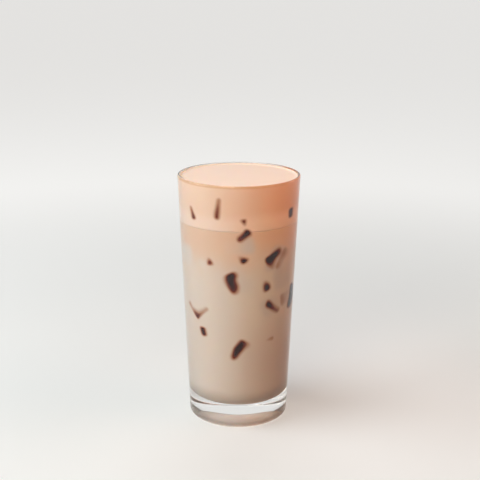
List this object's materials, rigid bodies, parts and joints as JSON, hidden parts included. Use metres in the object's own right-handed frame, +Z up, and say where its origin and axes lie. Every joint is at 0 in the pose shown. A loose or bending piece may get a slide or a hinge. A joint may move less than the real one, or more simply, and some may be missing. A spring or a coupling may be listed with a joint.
{
  "type": "iced chai latte in a glass",
  "caption": "Tall tapered glass with a heavy base and rounded lip, filled to the brim with milky iced tea under a thick foam layer.",
  "frame": {"origin": "centre of the surface that the glass stands on", "axes": "+Z up along the glass's axis of revolution"},
  "size_m": [0.078, 0.078, 0.161],
  "materials": {
    "glass": "clear, polished",
    "tea": "milky liquid seen through glass",
    "foam": "fine-bubbled milk foam"
  },
  "bodies": {
    "root": {"glass": "glass", "tea": "tea", "foam": "foam"}
  },
  "joints": []
}
